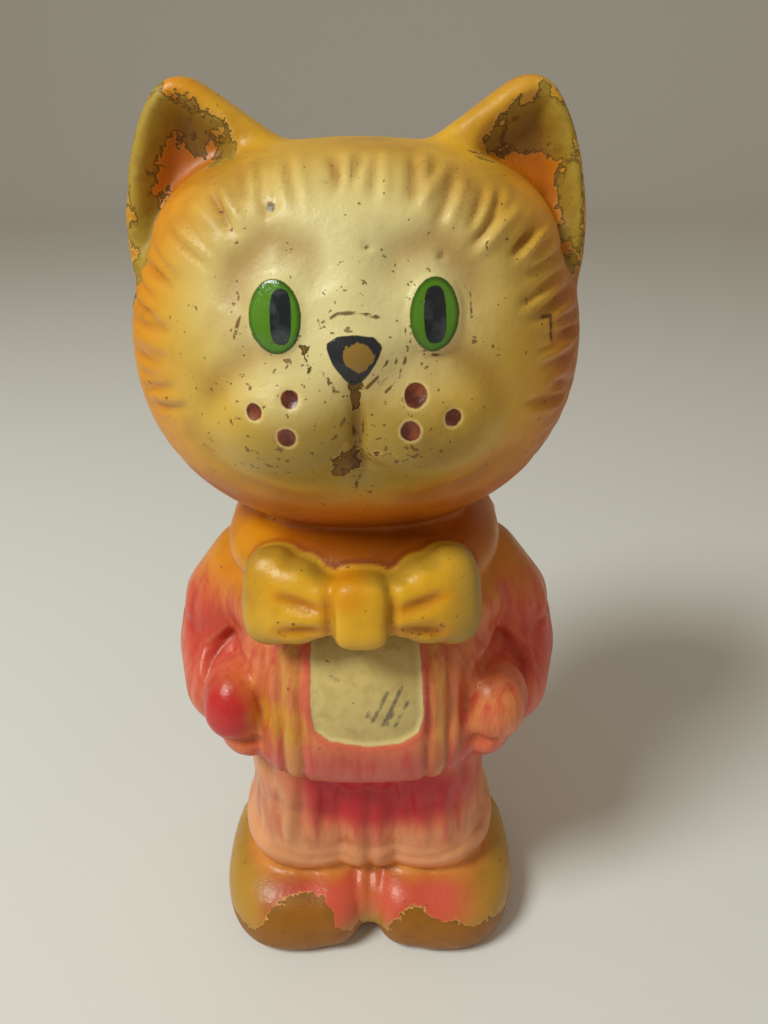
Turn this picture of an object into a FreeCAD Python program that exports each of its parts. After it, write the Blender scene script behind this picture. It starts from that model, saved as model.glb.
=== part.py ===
import FreeCAD, Part
import Sketcher
import os

# A hollow moulded-rubber kitten that squeaks when it is squeezed.
# The skin is pressed as a front and a back half, vulcanised together along a seam round the
# sides. A reed squeaker in an aluminium can is pushed into a rubber neck in the sole.
# Millimetres, +Z up, -Y towards the face, origin on the floor under the middle of the toy.

doc = FreeCAD.newDocument("kitten")

# ---------------------------------------------------------------- driving dimensions
DIMENSIONS = {
    # the rubber skin
    "wall": 2.4,
    "seam_y": 3.0,                 # plane of the seam between the two halves
    "head_half_width": 41.0,
    "head_half_depth": 34.0,
    "head_half_height": 38.0,
    "head_y": 2.0,
    "head_height": 133.0,          # height of the head's centre
    "cheek_x": 12.0,
    "cheek_height": 130.0,
    "ear_tip": 180.0,              # height of the ears' tips
    "ear_root": 142.0,
    "ear_thickness": 12.0,
    "eye_x": 12.0,
    "eye_height": 148.5,
    "nose_height": 142.5,
    "collar_radius": 28.0,
    "collar_top": 104.0,
    "collar_bottom": 89.0,
    "bow_height": 96.0,
    "bow_half_width": 21.5,
    "bow_half_height": 8.3,
    "bow_front": -36.0,
    "torso_half_width": 30.0,
    "torso_half_depth": 29.5,
    "torso_half_height": 45.0,
    "torso_y": -2.0,
    "torso_height": 63.0,
    "shoulder_half_width": 33.5,
    "shoulder_half_depth": 24.2,
    "shoulder_half_height": 17.0,
    "shoulder_y": -0.7,
    "shoulder_height": 81.0,
    "sleeve_radius": 10.5,
    "forearm_radius": 9.4,
    "shoulder_x": 23.5,            # ends of the arm's bones: shoulder, elbow and hand
    "shoulder_z": 85.0,
    "elbow_x": 31.2,
    "elbow_z": 66.0,
    "arm_y": 0.5,
    "hand_x": 26.0,
    "hand_y": -17.5,
    "hand_z": 64.5,
    "leg_x": 14.0,
    "leg_bottom_radius": 17.5,
    "leg_top_radius": 13.0,
    "leg_top": 50.0,
    "shoe_x": 17.0,
    "shoe_half_width": 18.2,
    "shoe_half_length": 27.5,
    "shoe_half_height": 12.5,
    "shoe_height": 7.0,
    "foot_y": -6.0,
    "web_radius": 20.0,            # rubber that joins the two feet
    "web_height": 8.0,
    "sole": 3.2,                   # rubber thickness under the feet
    # the squeaker
    "can_radius": 8.0,
    "can_height": 10.0,
    "can_wall": 0.4,
    "can_lip": 1.2,                # how far the crimped lip reaches over the plate
    "can_recess": 0.8,             # how far the can sits above the floor
    "air_hole_radius": 1.5,
    "plate_thickness": 1.2,
    "bed_radius": 2.6,
    "bed_length": 7.0,             # reed bed below the plate
    "bed_spigot": 2.6,             # reed bed through and above the plate
    "airway_radius": 1.0,
    "groove_width": 2.2,
    "groove_depth": 1.2,
    "groove_end": 0.8,             # solid rim at the bed's free end
    "reed_width": 4.0,
    "reed_thickness": 0.15,
    "reed_length": 6.5,
    "reed_clearance": 0.13,        # to the bed and to the wedge
    "clamp_length": 1.6,           # how much of the reed is held
    "reed_lift": 2.5,              # degrees that the reed stands off its bed at rest
    "ring_wall": 0.6,
}

sheet = doc.addObject("Spreadsheet::Sheet", "dims")
for row, (alias, value) in enumerate(DIMENSIONS.items(), start=1):
    sheet.set(f"A{row}", alias)
    sheet.set(f"B{row}", str(value))
    sheet.setAlias(f"B{row}", alias)
doc.recompute()

SIDES = ((-1, "left"), (1, "right"))


# ---------------------------------------------------------------- helpers
def bind(thing, **formulas):
    """Binds properties to formulas, where @ stands for the sheet and at_x is the place along X."""
    for prop, formula in formulas.items():
        path = prop.replace("at_", "Placement.Base.") if prop.startswith("at_") else prop
        thing.setExpression(path, str(formula).replace("@", "dims."))
    return thing


def ellipsoid(name, half, at, turn=None, side=0):
    """half and at are (x, y, z) formulas; turn is (axis, degrees).

    The surface's own seam line is kept off the visible crossings: it runs down the back of a
    form on the middle, and down the inner side of one that belongs to a side.
    """
    ball = doc.addObject("Part::Ellipsoid", name)
    seam_turn = {0: 90, 1: 180, -1: 0}[side]
    rotation = FreeCAD.Rotation(FreeCAD.Vector(0, 0, 1), seam_turn)
    if turn:
        rotation = FreeCAD.Rotation(FreeCAD.Vector(*turn[0]), turn[1]) * rotation
    ball.Placement.Rotation = rotation
    along, across = (half[0], half[1]) if side else (half[1], half[0])
    return bind(ball, Radius1=half[2], Radius2=along, Radius3=across,
                at_x=at[0], at_y=at[1], at_z=at[2])


def cylinder(name, radius, height, at):
    tube = doc.addObject("Part::Cylinder", name)
    return bind(tube, Radius=radius, Height=height, at_x=at[0], at_y=at[1], at_z=at[2])


def cone(name, bottom, top, height, at):
    taper = doc.addObject("Part::Cone", name)
    return bind(taper, Radius1=bottom, Radius2=top, Height=height,
                at_x=at[0], at_y=at[1], at_z=at[2])


def box(name, size, at):
    block = doc.addObject("Part::Box", name)
    return bind(block, Length=size[0], Width=size[1], Height=size[2],
                at_x=at[0], at_y=at[1], at_z=at[2])


def rod(name, radius, start, end):
    """A round rod with a ball at its far end, between two points given as sheet names."""
    a, b = (FreeCAD.Vector(*(side * DIMENSIONS[key] for side, key in point))
            for point in (start, end))
    tube = doc.addObject("Part::Cylinder", f"{name}_tube")
    tube.Placement.Rotation = FreeCAD.Rotation(FreeCAD.Vector(0, 0, 1), b - a)
    knob = doc.addObject("Part::Sphere", f"{name}_knob")
    run = [f"({e[0]} * @{e[1]} - {s[0]} * @{s[1]})^2" for s, e in zip(start, end)]
    bind(tube, Radius=radius, Height=f"sqrt({' + '.join(run)})")
    bind(knob, Radius=radius)
    for thing, point in ((tube, start), (knob, end)):
        bind(thing, **{f"at_{axis}": f"{side} * @{key}"
                       for axis, (side, key) in zip("xyz", point)})
    return [tube, knob]


def arm(side, word, thinner):
    """Upper arm and forearm, or their air space when made thinner."""
    shoulder = ((side, "shoulder_x"), (1, "arm_y"), (1, "shoulder_z"))
    elbow = ((side, "elbow_x"), (1, "arm_y"), (1, "elbow_z"))
    hand = ((side, "hand_x"), (1, "hand_y"), (1, "hand_z"))
    return [*rod(f"upper_{word}", f"@sleeve_radius - {thinner}", shoulder, elbow),
            *rod(f"fore_{word}", f"@forearm_radius - {thinner}", elbow, hand)]


def fuse(name, shapes):
    joined = doc.addObject("Part::MultiFuse", name)
    joined.Shapes = shapes
    return joined


def cut(name, base, tool):
    trimmed = doc.addObject("Part::Cut", name)
    trimmed.Base, trimmed.Tool = base, tool
    return trimmed


def common(name, base, tool):
    kept = doc.addObject("Part::Common", name)
    kept.Base, kept.Tool = base, tool
    return kept


def sketch_on(body, name, role):
    """An empty sketch on one of the body's own origin planes."""
    sketch = body.newObject("Sketcher::SketchObject", name)
    plane = next(f for f in body.Origin.OriginFeatures if f.Role == role)
    sketch.AttachmentSupport = [(plane, "")]
    sketch.MapMode = "FlatFace"
    return sketch


# ---------------------------------------------------------------- outside of the skin
def ear(side, word):
    """A rounded leaf beside the crown, hollowed in front."""
    tip = DIMENSIONS["ear_tip"]
    root = DIMENSIONS["ear_root"]

    def point(across, height):
        return FreeCAD.Vector(side * across, height, 0)

    body = doc.addObject("PartDesign::Body", f"ear_leaf_{word}")
    sketch = sketch_on(body, f"ear_outline_{word}", "XZ_Plane")
    sketch.addGeometry([
        Part.LineSegment(point(12, tip - 11), point(26.5, tip - 1.2)),
        Part.Arc(point(26.5, tip - 1.2), point(31.5, tip), point(36.5, tip - 4)),
        Part.Arc(point(36.5, tip - 4), point(41.3, tip - 17), point(39.5, root)),
        Part.LineSegment(point(39.5, root), point(12, root + 8)),
        Part.LineSegment(point(12, root + 8), point(12, tip - 11)),
    ])
    pad = body.newObject("PartDesign::Pad", f"ear_pad_{word}")
    pad.Profile = sketch
    pad.Midplane = True
    bind(pad, Length="@ear_thickness")
    bind(body, at_y="@seam_y")
    doc.recompute()
    hollow = ellipsoid(f"ear_hollow_{word}", ("8.5", "7", "14"),
                       (f"{side} * 30.5", "@seam_y - @ear_thickness / 2 - 1.5", "@ear_tip - 17"),
                       ((0, 1, 0), side * 12))
    return cut(f"ear_{word}", body, hollow)


def filleted_pad(name, points, length, place, rounding):
    """A plate padded back from the plane y = place, with its front edges rounded."""
    body = doc.addObject("PartDesign::Body", f"{name}_plate")
    sketch = sketch_on(body, f"{name}_outline", "XZ_Plane")
    corners = [FreeCAD.Vector(x, z, 0) for x, z in points]
    ring = zip(corners, corners[1:] + corners[:1])
    sketch.addGeometry([Part.LineSegment(a, b) for a, b in ring])
    pad = body.newObject("PartDesign::Pad", f"{name}_pad")
    pad.Profile = sketch
    pad.Reversed = True
    bind(pad, Length=length)
    bind(body, at_y=place)
    doc.recompute()
    front = [f"Face{i}" for i, face in enumerate(pad.Shape.Faces, start=1)
             if face.CenterOfMass.y < 0.001 and face.normalAt(0, 0).y < -0.9]
    if len(front) != 1:
        raise RuntimeError(f"{name} has {len(front)} front faces")
    soft = body.newObject("PartDesign::Fillet", f"{name}_rounding")
    soft.Base = (pad, front)
    bind(soft, Radius=rounding)
    body.Tip = soft
    return body


def bow():
    """A tied bow: two wings that swell outwards, and the knot between them."""
    middle = DIMENSIONS["bow_height"]
    half = DIMENSIONS["bow_half_width"]
    tall = DIMENSIONS["bow_half_height"]
    waist = 0.5 * tall
    wings = [(-half, middle - tall), (-4, middle - waist), (4, middle - waist),
             (half, middle - tall), (half, middle + tall), (4, middle + waist),
             (-4, middle + waist), (-half, middle + tall)]
    knot = [(-5.2, middle - 6.5), (5.2, middle - 6.5), (5.2, middle + 6.5), (-5.2, middle + 6.5)]
    return [filleted_pad("bow_wings", wings, "16", "@bow_front + 4.5", "2.5"),
            filleted_pad("bow_knot", knot, "14", "@bow_front", "2.5")]


def limbs_and_face(side, word):
    """The forms that come in pairs."""
    return [
        ellipsoid(f"cheek_{word}", ("15", "11", "13"),
                  (f"{side} * @cheek_x", "-22", "@cheek_height")),
        ellipsoid(f"eye_{word}", ("4.6", "3", "7"),
                  (f"{side} * @eye_x", "-26.6", "@eye_height"), ((0, 0, 1), side * 12)),
        ear(side, word),
        *arm(side, word, "0"),
        cone(f"leg_{word}", "@leg_bottom_radius", "@leg_top_radius", "@leg_top - @shoe_height",
             (f"{side} * @leg_x", "@foot_y + 2", "@shoe_height")),
        ellipsoid(f"shoe_{word}", ("@shoe_half_width", "@shoe_half_length", "@shoe_half_height"),
                  (f"{side} * @shoe_x", "@foot_y", "@shoe_height")),
    ]


def outside_of_skin():
    """Everything that the mould shapes, as one solid that stands on the floor."""
    parts = [
        ellipsoid("head_ball", ("@head_half_width", "@head_half_depth", "@head_half_height"),
                  ("0", "@head_y", "@head_height")),
        ellipsoid("nose", ("4.2", "3.2", "3.6"), ("0", "-32.2", "@nose_height")),
        cone("collar", "@collar_radius + 0.5", "@collar_radius", "@collar_top - @collar_bottom",
             ("0", "@head_y - 1", "@collar_bottom")),
        ellipsoid("torso", ("@torso_half_width", "@torso_half_depth", "@torso_half_height"),
                  ("0", "@torso_y", "@torso_height")),
        ellipsoid("shoulders",
                  ("@shoulder_half_width", "@shoulder_half_depth", "@shoulder_half_height"),
                  ("0", "@shoulder_y", "@shoulder_height")),
        cylinder("sole_web", "@web_radius", "@web_height", ("0", "@foot_y", "0")),
        *bow(),
    ]
    for side, word in SIDES:
        parts += limbs_and_face(side, word)
    whole = fuse("outside_uncut", parts)
    below = box("below_floor", ("200", "200", "40"), ("-100", "-100", "-40"))
    return cut("outside", whole, below)


# ---------------------------------------------------------------- air space and the two halves
def inside_of_skin():
    """The air space, one wall thickness in from the large forms."""
    parts = [
        ellipsoid("head_air",
                  ("@head_half_width - @wall", "@head_half_depth - @wall",
                   "@head_half_height - @wall"),
                  ("0", "@head_y", "@head_height")),
        cylinder("neck_air", "@collar_radius - 2 * @wall", "@collar_top - @collar_bottom - 5",
                 ("0", "@head_y - 1", "@collar_bottom + 3")),
        ellipsoid("torso_air",
                  ("@torso_half_width - @wall", "@torso_half_depth - @wall",
                   "@torso_half_height - @wall"),
                  ("0", "@torso_y", "@torso_height")),
        ellipsoid("shoulder_air",
                  ("@shoulder_half_width - @wall", "@shoulder_half_depth - @wall",
                   "@shoulder_half_height - @wall"),
                  ("0", "@shoulder_y", "@shoulder_height")),
        cylinder("web_air", "@web_radius - @wall", "@web_height - @wall - @sole",
                 ("0", "@foot_y", "@sole")),
    ]
    for side, word in SIDES:
        parts += [
            *arm(side, f"air_{word}", "@wall"),
            cone(f"leg_air_{word}", "@leg_bottom_radius - @wall", "@leg_top_radius - @wall",
                 "@leg_top - @shoe_height",
                 (f"{side} * @leg_x", "@foot_y + 2", "@shoe_height")),
            ellipsoid(f"shoe_air_{word}",
                      ("@shoe_half_width - @wall", "@shoe_half_length - @wall",
                       "@shoe_half_height - @wall"),
                      (f"{side} * @shoe_x", "@foot_y", "@shoe_height")),
        ]
    whole = fuse("air_uncut", parts)
    below = box("below_sole", ("200", "200", "40 + @sole"), ("-100", "-100", "-40"))
    return cut("air", whole, below)


def skin_halves():
    """The rubber wall with the squeaker's neck, cut along the seam."""
    hollow = cut("hollow_skin", outside_of_skin(), inside_of_skin())
    neck = cylinder("squeaker_neck", "@can_radius + @wall", "@can_recess + @can_height",
                    ("0", "@seam_y", "0"))
    bore = cylinder("squeaker_bore", "@can_radius", "@can_recess + @can_height + 2",
                    ("0", "@seam_y", "-1"))
    skin = cut("skin", fuse("skin_with_neck", [hollow, neck]), bore)
    ahead = box("ahead_of_seam", ("300", "150", "300"), ("-150", "@seam_y - 150", "-50"))
    return {"front_shell": common("front_half", skin, ahead),
            "back_shell": cut("back_half", skin, ahead)}


# ---------------------------------------------------------------- squeaker
PLATE_UNDERSIDE = "(@can_recess + @can_height - @can_wall - @plate_thickness)"
REED_GAP = "(@reed_thickness + 2 * @reed_clearance)"


def squeaker_can():
    """A drawn aluminium can with an air hole below and its lip crimped over the plate."""
    outer = cylinder("can_outer", "@can_radius", "@can_height", ("0", "@seam_y", "@can_recess"))
    room = cylinder("can_room", "@can_radius - @can_wall", "@can_height - 2 * @can_wall",
                    ("0", "@seam_y", "@can_recess + @can_wall"))
    mouth = cylinder("can_mouth", "@can_radius - @can_wall - @can_lip", "2 * @can_wall",
                     ("0", "@seam_y", "@can_recess + @can_height - 1.5 * @can_wall"))
    hole = cylinder("can_air_hole", "@air_hole_radius", "3 * @can_wall",
                    ("0", "@seam_y", "@can_recess - @can_wall"))
    return cut("can", outer, fuse("can_hollows", [room, mouth, hole]))


def squeaker_plate():
    """The plastic disc that closes the can and holds the reed bed."""
    body = doc.addObject("PartDesign::Body", "plate_body")
    sketch = sketch_on(body, "plate_outline", "XY_Plane")
    axis = FreeCAD.Vector(0, 0, 1)
    for index, formula in enumerate(("dims.can_radius - dims.can_wall", "dims.bed_radius")):
        sketch.addGeometry(Part.Circle(FreeCAD.Vector(), axis, 5 - index))
        sketch.addConstraint(Sketcher.Constraint("Coincident", index, 3, -1, 1))
        radius = sketch.addConstraint(Sketcher.Constraint("Radius", index, 5 - index))
        sketch.setExpression(f"Constraints[{radius}]", formula)
    pad = body.newObject("PartDesign::Pad", "plate_pad")
    pad.Profile = sketch
    bind(pad, Length="@plate_thickness")
    return bind(body, at_y="@seam_y", at_z=PLATE_UNDERSIDE)


def reed_bed():
    """A half-round trough with a groove for the air, on a spigot through the plate."""
    spigot = cylinder("bed_spigot_rod", "@bed_radius", "@bed_spigot",
                      ("0", "@seam_y", PLATE_UNDERSIDE))
    rod = cylinder("bed_rod", "@bed_radius", "@bed_length",
                   ("0", "@seam_y", f"{PLATE_UNDERSIDE} - @bed_length"))
    front = box("bed_front", ("10", "10", "@bed_length"),
                ("-5", "@seam_y - 10", f"{PLATE_UNDERSIDE} - @bed_length"))
    trough = fuse("bed_uncut", [spigot, cut("bed_half_rod", rod, front)])
    groove = box("bed_groove",
                 ("@groove_width", "@groove_depth", "@bed_length - @groove_end"),
                 ("-@groove_width / 2", "@seam_y",
                  f"{PLATE_UNDERSIDE} - @bed_length + @groove_end"))
    airway = cylinder("bed_airway", "@airway_radius", "@bed_spigot + 3",
                      ("0", "@seam_y + @airway_radius", f"{PLATE_UNDERSIDE} - 1"))
    return cut("bed", trough, fuse("bed_air", [groove, airway]))


def reed():
    """A springy strip, held at its upper end and standing a little off the bed."""
    strip = box("reed_strip", ("@reed_width", "@reed_thickness", "@reed_length"),
                ("-@reed_width / 2", "0", "0"))
    lean = -DIMENSIONS["reed_lift"]
    strip.Placement.Rotation = FreeCAD.Rotation(FreeCAD.Vector(1, 0, 0), lean)
    # The strip turns about the clamp's edge, below which its free length hangs.
    free = "(@reed_length - @clamp_length + 0.1)"
    return bind(
        strip,
        at_y=f"@seam_y - @reed_clearance - @reed_thickness / 2"
             f" - @reed_thickness / 2 * cos(@reed_lift * 1 deg)"
             f" - {free} * sin(@reed_lift * 1 deg)",
        at_z=f"{PLATE_UNDERSIDE} - @clamp_length - {free} * cos(@reed_lift * 1 deg)"
             f" + @reed_thickness / 2 * sin(@reed_lift * 1 deg)")


def reed_wedge():
    """The half-round piece that presses the reed's end towards the bed."""
    rod = cylinder("wedge_rod", "@bed_radius", "@clamp_length",
                   ("0", "@seam_y", f"{PLATE_UNDERSIDE} - @clamp_length"))
    behind = box("wedge_behind", ("10", "10", "@clamp_length"),
                 ("-5", f"@seam_y - {REED_GAP}", f"{PLATE_UNDERSIDE} - @clamp_length"))
    return cut("wedge", rod, behind)


def clamp_ring():
    """The ring that holds wedge and bed together."""
    outer = cylinder("ring_outer", "@bed_radius + @ring_wall", "@clamp_length",
                     ("0", "@seam_y", f"{PLATE_UNDERSIDE} - @clamp_length"))
    inner = cylinder("ring_inner", "@bed_radius", "@clamp_length",
                     ("0", "@seam_y", f"{PLATE_UNDERSIDE} - @clamp_length"))
    return cut("ring", outer, inner)


# ---------------------------------------------------------------- build, check and write
subparts = {
    **skin_halves(),
    "squeaker_can": squeaker_can(),
    "squeaker_plate": squeaker_plate(),
    "reed_bed": reed_bed(),
    "reed": reed(),
    "reed_wedge": reed_wedge(),
    "clamp_ring": clamp_ring(),
}
for node, thing in subparts.items():
    thing.Label = node
doc.recompute()

failed = [o.Label for o in doc.Objects if {"Invalid", "Error"} & set(o.State)]
if failed:
    raise RuntimeError(f"these objects failed: {failed}")
os.makedirs("parts", exist_ok=True)
for node, thing in subparts.items():
    shape = thing.Shape
    if shape.isNull() or not shape.isValid() or not shape.Solids:
        raise RuntimeError(f"{node} has no valid solid")
    shape.exportStep(f"parts/{node}.step")
    low, high = shape.BoundBox, shape.Volume
    print(f"{node}: {len(shape.Solids)} solid, {high:.1f} mm3, "
          f"x {low.XMin:.2f} {low.XMax:.2f} y {low.YMin:.2f} {low.YMax:.2f} "
          f"z {low.ZMin:.2f} {low.ZMax:.2f}")
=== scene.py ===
import math

import bpy
import numpy as np
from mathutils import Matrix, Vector
from mathutils.kdtree import KDTree


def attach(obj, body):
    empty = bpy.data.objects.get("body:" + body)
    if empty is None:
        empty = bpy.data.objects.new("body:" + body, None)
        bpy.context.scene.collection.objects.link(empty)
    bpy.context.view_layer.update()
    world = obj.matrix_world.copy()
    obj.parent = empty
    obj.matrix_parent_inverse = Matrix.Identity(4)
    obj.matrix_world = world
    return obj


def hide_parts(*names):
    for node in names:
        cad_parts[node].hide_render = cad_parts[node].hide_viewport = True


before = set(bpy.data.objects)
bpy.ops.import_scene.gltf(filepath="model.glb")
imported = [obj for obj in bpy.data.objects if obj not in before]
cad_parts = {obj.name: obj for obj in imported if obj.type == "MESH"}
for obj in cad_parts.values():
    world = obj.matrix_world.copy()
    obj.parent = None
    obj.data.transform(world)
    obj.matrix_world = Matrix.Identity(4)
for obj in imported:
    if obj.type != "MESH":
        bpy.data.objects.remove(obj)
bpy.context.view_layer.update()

# ---------------------------------------------------------------- table, camera and light
# The toy stands on a plain pale sheet that runs up behind it. Two soft lamps light it warmly
# from the front left and more weakly from the right.
MM = 0.001


def deselect():
    bpy.ops.object.select_all(action="DESELECT")


def plain_material(name, colour, roughness):
    material = bpy.data.materials.new(name)
    material.use_nodes = True
    shader = material.node_tree.nodes["Principled BSDF"]
    shader.inputs["Base Color"].default_value = (*colour, 1.0)
    shader.inputs["Roughness"].default_value = roughness
    return material


deselect()
bpy.ops.mesh.primitive_plane_add(size=3.0, location=(0, 0.6, 0))
sheet = bpy.context.object
sheet.name = "paper_sheet"
bpy.ops.object.mode_set(mode="EDIT")
bpy.ops.mesh.select_mode(type="EDGE")
bpy.ops.mesh.select_all(action="DESELECT")
bpy.ops.object.mode_set(mode="OBJECT")
for edge in sheet.data.edges:
    edge.select = all(sheet.data.vertices[i].co.y > 1.0 for i in edge.vertices)
bpy.ops.object.mode_set(mode="EDIT")
bpy.ops.mesh.extrude_region_move(TRANSFORM_OT_translate={"value": (0, 0, 2.0)})
bpy.ops.mesh.select_all(action="SELECT")
bpy.ops.mesh.bevel(offset=0.5, segments=12, affect="EDGES")
bpy.ops.object.mode_set(mode="OBJECT")
bpy.ops.object.transform_apply()
bpy.ops.object.shade_smooth()
sheet.data.materials.append(plain_material("pale_paper", (0.80, 0.80, 0.82), 0.9))

lens = bpy.data.cameras.new("camera")
lens.sensor_width = 36.0
lens.lens = 27.04
lens.clip_start = 0.01
camera = bpy.data.objects.new("camera", lens)
bpy.context.scene.collection.objects.link(camera)
LOOK_DOWN = 26.5
ROLL = 0.35
camera.location = (4.5 * MM, -144 * MM, 172 * MM)
camera.rotation_euler = (math.radians(90 - LOOK_DOWN), math.radians(ROLL), 0)
bpy.context.scene.camera = camera


def soft_lamp(name, place, aim, size, watts, colour):
    lamp = bpy.data.lights.new(name, "AREA")
    lamp.shape = "DISK"
    lamp.size = size
    lamp.energy = watts
    lamp.color = colour
    holder = bpy.data.objects.new(name, lamp)
    bpy.context.scene.collection.objects.link(holder)
    holder.location = place
    holder.rotation_euler = (Vector(aim) - Vector(place)).to_track_quat("-Z", "Y").to_euler()


CHEST = (0, 0, 0.09)
soft_lamp("key_lamp", (-0.47, -0.34, 0.77), CHEST, 0.30, 6.0, (0.91, 0.97, 0.87))
soft_lamp("fill_lamp", (0.75, -0.55, 0.45), CHEST, 0.60, 0.2, (1.0, 0.85, 0.65))
world = bpy.data.worlds.new("room")
world.use_nodes = True
world.node_tree.nodes["Background"].inputs["Color"].default_value = (1.0, 0.87, 0.64, 1.0)
world.node_tree.nodes["Background"].inputs["Strength"].default_value = 0.29
bpy.context.scene.world = world
bpy.context.scene.view_settings.view_transform = "Standard"

# ---------------------------------------------------------------- form of the head
# The rubber was pressed from a sculpted master. Its forms are built up here as closed lumps,
# the head first: a wide skull, two muzzle pads and a small chin.
SEAM_Y = 3.0


def ball(centre, half, turn=(0, 0, 0), power=2.0):
    """A closed lump, millimetres; a power above 2 squares its shoulders."""
    deselect()
    bpy.ops.mesh.primitive_ico_sphere_add(subdivisions=5, radius=1.0)
    lump = bpy.context.object
    if power != 2.0:
        co = coords(lump)
        co /= (np.abs(co) ** power).sum(1, keepdims=True) ** (1 / power)
        put_coords(lump, co)
    lump.scale = [v * MM for v in half]
    lump.rotation_euler = [math.radians(v) for v in turn]
    lump.location = [v * MM for v in centre]
    bpy.ops.object.transform_apply()
    return lump


def coords(piece):
    co = np.empty(len(piece.data.vertices) * 3)
    piece.data.vertices.foreach_get("co", co)
    return co.reshape(-1, 3)


def put_coords(piece, co):
    piece.data.vertices.foreach_set("co", np.ascontiguousarray(co, dtype=float).ravel())
    piece.data.update()


def chain(stations, steps=7):
    """Lumps strung along a line of (x, y, z, radius) stations."""
    lumps = []
    for a, b in zip(stations, stations[1:]):
        for k in range(steps):
            x, y, z, r = (p + (q - p) * k / steps for p, q in zip(a, b))
            lumps.append(ball((x, y, z), (r, r, r)))
    x, y, z, r = stations[-1]
    return lumps + [ball((x, y, z), (r, r, r))]


def fuse(name, lumps, grain, rounds):
    """Melts lumps into one closed surface and smooths it."""
    deselect()
    for lump in lumps:
        lump.select_set(True)
    bpy.context.view_layer.objects.active = lumps[0]
    if len(lumps) > 1:
        bpy.ops.object.join()
    body = bpy.context.object
    body.name = name
    melt = body.modifiers.new("melt", "REMESH")
    melt.mode = "VOXEL"
    melt.voxel_size = grain * MM
    bpy.ops.object.modifier_apply(modifier="melt")
    if rounds:
        even = body.modifiers.new("even", "SMOOTH")
        even.factor = 0.5
        even.iterations = rounds
        bpy.ops.object.modifier_apply(modifier="even")
    return body


SIDES = (-1, 1)
head_lumps = [ball((-0.7, 2, 135.6), (41.2, 34, 35.2), power=2.15),
              ball((-0.4, 2, 150), (36, 30, 20.6), power=2.5),
              ball((0, -15, 117), (15, 11, 8.5))]
for side in SIDES:
    head_lumps.append(ball((side * 10.3, -23.6, 129.8), (14.0, 10.8, 11.2), (0, 0, side * 14)))

# ---------------------------------------------------------------- form of the ears
# Broad leaves that rise beside the crown; they are hollowed in front later on.
def leaf(outline, y_low, y_high):
    """A plate between two planes of constant y, from an outline of (x, z) points."""
    deselect()
    bpy.ops.mesh.primitive_circle_add(vertices=len(outline), fill_type="NGON")
    plate = bpy.context.object
    put_coords(plate, [(x * MM, y_low * MM, z * MM) for x, z in outline])
    bpy.ops.object.mode_set(mode="EDIT")
    bpy.ops.mesh.select_all(action="SELECT")
    bpy.ops.mesh.extrude_region_move(
        TRANSFORM_OT_translate={"value": (0, (y_high - y_low) * MM, 0)})
    bpy.ops.mesh.select_all(action="SELECT")
    bpy.ops.mesh.normals_make_consistent(inside=False)
    bpy.ops.object.mode_set(mode="OBJECT")
    return plate


EAR = [(11, 169.3), (16.5, 172.8), (20.8, 175.8), (24.4, 178.3), (27.4, 180.0), (30.4, 180.1),
       (33.4, 178.1), (36, 173.6), (38.3, 167.4), (39.8, 160), (40.2, 152), (38.5, 142),
       (30, 140), (16, 150)]
EAR_FRONT, EAR_BACK = -4.0, 9.0
ears = []
for side in SIDES:
    outline = [(x if side > 0 else -1.02 * x, z) for x, z in EAR][::side]
    plate = leaf(outline, EAR_FRONT, EAR_BACK)
    co = coords(plate)
    middle = (EAR_FRONT + EAR_BACK) / 2 * MM
    co[:, 1] = middle + (co[:, 1] - middle) * (1 - 0.4 * np.clip((co[:, 2] - 0.14) / 0.04, 0, 1))
    put_coords(plate, co)
    ears.append(fuse("ear", [plate], 0.9, 8))
head = fuse("head", head_lumps + ears, 1.15, 9)

# ---------------------------------------------------------------- form of collar and jacket
# A rolled collar under the chin, sloping shoulders, and a short jacket over a full belly.
trunk_lumps = [ball((0, 1, 98), (27.8, 27.8, 8.5), power=2.6),
               ball((0, 0, 84), (31.5, 24.5, 15)),
               ball((0, -1.5, 71), (28.5, 30, 22), power=2.3),
               ball((0, -1.5, 61), (28.2, 29.8, 13), power=3.0),
               ball((0, -1.5, 51), (26.6, 23.0, 17))]
trunk = fuse("trunk", trunk_lumps, 1.3, 8)

# ---------------------------------------------------------------- form of arms and hands
# The arms hang with the elbows out and the closed hands on the front of the hips.
arms = []
for side in SIDES:
    sleeve = chain([(side * 24, 1, 88, 9.5), (side * 29.5, 1.5, 78, 11),
                    (side * 31.5, 0, 68, 10.8), (side * 29.5, -9, 64, 10)])
    arms.append(fuse("arm", sleeve, 1.1, 10))
    hand = [ball((side * 26.2, -19.2, 67.2), (7.3, 8.8, 8.6)),
            ball((side * 23.8, -17.0, 59.4), (7.0, 9.3, 5.6))]
    arms.append(fuse("hand", hand, 0.9, 2))

# ---------------------------------------------------------------- form of trousers and shoes
# Two stout legs that widen to the hems, over round-toed shoes joined by a web of rubber.
legs = []
for side in SIDES:
    legs.append(fuse("leg", [ball((side * 13, -3, 46), (14, 21.0, 16), power=2.4),
                             ball((side * 13.2, -3.2, 32), (14.2, 19.8, 16), power=2.4),
                             ball((side * 13.8, -3.6, 22.6), (16.4, 19.3, 8.6), power=2.3),
                             ball((0, -3.4, 35), (9, 20.2, 19.5), power=2.6)], 1.1, 6))
    legs.append(fuse("shoe", [ball((side * 17.1, -6.8, 6.9), (17.9, 24.2, 12.1), power=2.5),
                              ball((side * 9.5, -6.8, 7.6), (10.3, 23.6, 11.4), power=2.6)],
                     1.0, 5))
legs.append(ball((0, -3.8, 23.2), (12, 18.9, 8.2), power=2.6))
legs.append(ball((0, -6.4, 9), (6, 20, 10), power=2.5))
legs.append(ball((0, 3, 9), (15, 15, 11), power=3.0))

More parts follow.
